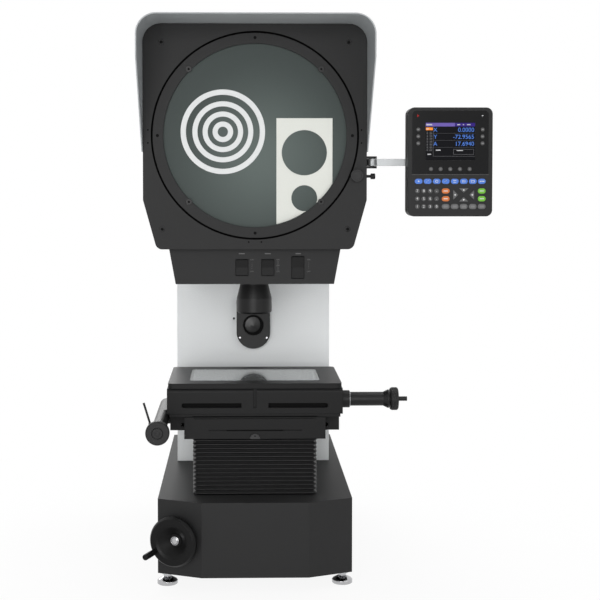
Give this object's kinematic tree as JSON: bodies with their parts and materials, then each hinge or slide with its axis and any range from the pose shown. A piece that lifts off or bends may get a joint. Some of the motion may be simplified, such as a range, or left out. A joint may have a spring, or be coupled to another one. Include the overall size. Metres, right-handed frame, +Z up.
{
  "type": "optical comparator",
  "caption": "Vertical bench-top optical comparator: round rotating projection screen on a column over a lens, with a lifting cross-travel glass stage and a readout on an arm.",
  "frame": {"origin": "centre of the stage glass's top face at rest, where the optical axis meets the work", "axes": "+Z up along the optical axis, +Y to the back, +X to the right; the screen faces -Y"},
  "size_m": [0.5917, 0.675, 0.9532],
  "materials": {
    "charcoal_paint": "fine textured satin paint",
    "column_paint": "satin paint",
    "hood_paint": "satin paint",
    "stage_black": "black enamel on machined iron",
    "black_metal": "black anodised",
    "chrome": "polished",
    "steel": "ground",
    "bronze": "turned",
    "arm_aluminium": "brushed",
    "lens_glass": "coated",
    "stage_pane": "polished",
    "ground_glass": "ground",
    "mirror": "front silvered",
    "bellows_cloth": "coated cloth",
    "black_plastic": "moulded",
    "readout_plastic": "fine textured",
    "readout_film": "gloss film",
    "display": "lit display",
    "keys": "domed film"
  },
  "bodies": {
    "root": {"base_casting": "charcoal_paint", "base_cover": "black_metal", "foot_nuts": "steel", "column": "column_paint", "column_cover": "column_paint", "head_shell": "charcoal_paint", "front_plate": "charcoal_paint", "plate_screws": "black_metal", "ring_retainer": "charcoal_paint", "hood": "hood_paint", "panel_box": "charcoal_paint", "mirror_cheeks": "black_metal", "first_mirror": "mirror", "mirror_wedge": "black_metal", "main_mirror": "mirror", "objective": "black_metal", "objective_lens": "lens_glass", "surface_plate": "black_metal", "surface_lens": "lens_glass", "condenser_tube": "black_metal", "condenser_lens": "lens_glass", "guide_posts": "steel", "side_bracket": "black_metal", "bellows": "bellows_cloth"},
    "screen": {"screen_ring": "charcoal_paint", "screen_glass": "ground_glass", "screen_clips": "black_metal"},
    "screen_drive": {"screen_knob": "black_plastic", "drive_roller": "black_plastic"},
    "contour_switch": {"rocker_contour": "black_plastic"},
    "surface_switch": {"rocker_surface": "black_plastic"},
    "power_switch": {"rocker_power": "black_plastic"},
    "lift": {"lift_table": "stage_black", "lift_bushes": "bronze", "lift_nut": "bronze", "y_rails": "steel"},
    "y_stage": {"y_carriage": "stage_black", "x_rails": "steel", "y_drive_tube": "black_metal"},
    "y_handle": {"y_knob": "black_plastic"},
    "lever": {"release_lever": "black_metal"},
    "x_stage": {"x_table": "stage_black", "stage_frame": "stage_black", "stage_glass": "stage_pane", "x_drive_tube": "black_metal"},
    "x_handle": {"x_knob": "black_plastic"},
    "lift_drive": {"lift_screw": "steel"},
    "focus": {"focus_wheel": "black_metal", "focus_shaft": "chrome"},
    "grip": {"crank_grip": "black_plastic"},
    "thumbscrew": {"arm_thumbscrew": "black_metal"},
    "arm": {"readout_arm": "arm_aluminium"},
    "readout": {"readout_case": "readout_plastic", "readout_bezel": "readout_film", "readout_display": "display", "readout_keys": "keys"},
    "foot_front_left": {"foot_fl": "chrome"},
    "foot_front_right": {"foot_fr": "chrome"},
    "foot_rear_left": {"foot_rl": "chrome"},
    "foot_rear_right": {"foot_rr": "chrome"}
  },
  "joints": [
    {"name": "screen_turn", "type": "hinge", "parent": "root", "child": "screen", "pos_m": [0, -0.118, 0.421], "axis": [0, 1, 0], "continuous": true},
    {"name": "screen_knob_turn", "type": "hinge", "parent": "root", "child": "screen_drive", "pos_m": [0.17104, -0.118, 0.354], "axis": [0, 1, 0], "continuous": true},
    {"name": "contour_rock", "type": "hinge", "parent": "root", "child": "contour_switch", "pos_m": [-0.022, -0.0975, 0.198], "axis": [1, 0, 0], "range_deg": [-7, 7]},
    {"name": "surface_rock", "type": "hinge", "parent": "root", "child": "surface_switch", "pos_m": [0.022, -0.0975, 0.198], "axis": [1, 0, 0], "range_deg": [-7, 7]},
    {"name": "power_rock", "type": "hinge", "parent": "root", "child": "power_switch", "pos_m": [0.073, -0.0975, 0.198], "axis": [1, 0, 0], "range_deg": [-7, 7]},
    {"name": "lift_slide", "type": "slide", "parent": "root", "child": "lift", "axis": [0, 0, 1], "range_m": [-0.03, 0.04], "deforming": ["bellows"]},
    {"name": "focus_turn", "type": "hinge", "parent": "root", "child": "focus", "pos_m": [-0.1275, -0.1315, -0.256], "axis": [-0.382, -0.9242, 0], "range_deg": [-545, 725]},
    {"name": "lift_screw_turn", "type": "hinge", "parent": "root", "child": "lift_drive", "pos_m": [-0.07, 0.00761, -0.1], "axis": [0, 0, 1], "range_deg": [-545, 725]},
    {"name": "grip_turn", "type": "hinge", "parent": "focus", "child": "grip", "pos_m": [-0.16701, -0.14547, -0.274], "axis": [-0.382, -0.9242, 0], "continuous": true},
    {"name": "y_slide", "type": "slide", "parent": "lift", "child": "y_stage", "axis": [0, 1, 0], "range_m": [-0.025, 0.025]},
    {"name": "y_knob_turn", "type": "hinge", "parent": "y_stage", "child": "y_handle", "pos_m": [-0.16, -0.185, -0.0654], "axis": [0, 1, 0], "range_deg": [-365, 365]},
    {"name": "lever_swing", "type": "hinge", "parent": "y_stage", "child": "lever", "pos_m": [-0.171, -0.13, -0.0654], "axis": [1, 0, 0], "range_deg": [-30, 30]},
    {"name": "x_slide", "type": "slide", "parent": "y_stage", "child": "x_stage", "axis": [1, 0, 0], "range_m": [-0.075, 0.075]},
    {"name": "x_knob_turn", "type": "hinge", "parent": "x_stage", "child": "x_handle", "pos_m": [0.234, -0.05, -0.035], "axis": [1, 0, 0], "range_deg": [-1085, 1085]},
    {"name": "arm_swing", "type": "hinge", "parent": "root", "child": "arm", "pos_m": [0.202, -0.06, 0.377], "axis": [0, 0, 1], "range_deg": [-35, 35]},
    {"name": "readout_tilt", "type": "hinge", "parent": "arm", "child": "readout", "pos_m": [0.33, -0.06, 0.377], "axis": [1, 0, 0], "range_deg": [-15, 15]},
    {"name": "thumbscrew_turn", "type": "hinge", "parent": "root", "child": "thumbscrew", "pos_m": [0.192, -0.06, 0.353], "axis": [1, 0, 0], "continuous": true},
    {"name": "foot_fl_turn", "type": "hinge", "parent": "root", "child": "foot_front_left", "pos_m": [-0.1495, -0.0985, -0.343], "axis": [0, 0, 1], "continuous": true},
    {"name": "foot_fr_turn", "type": "hinge", "parent": "root", "child": "foot_front_right", "pos_m": [0.1495, -0.0985, -0.343], "axis": [0, 0, 1], "continuous": true},
    {"name": "foot_rl_turn", "type": "hinge", "parent": "root", "child": "foot_rear_left", "pos_m": [-0.1495, 0.4135, -0.343], "axis": [0, 0, 1], "continuous": true},
    {"name": "foot_rr_turn", "type": "hinge", "parent": "root", "child": "foot_rear_right", "pos_m": [0.1495, 0.4135, -0.343], "axis": [0, 0, 1], "continuous": true}
  ],
  "couplings": [
    {"joint": "screen_knob_turn", "follows": "screen_turn", "ratio": -29.583},
    {"joint": "focus_turn", "follows": "lift_slide", "rad_per_m": 314.16},
    {"joint": "lift_screw_turn", "follows": "lift_slide", "rad_per_m": 314.16},
    {"joint": "y_knob_turn", "follows": "y_slide", "rad_per_m": 251.33},
    {"joint": "x_knob_turn", "follows": "x_slide", "rad_per_m": 251.33}
  ]
}
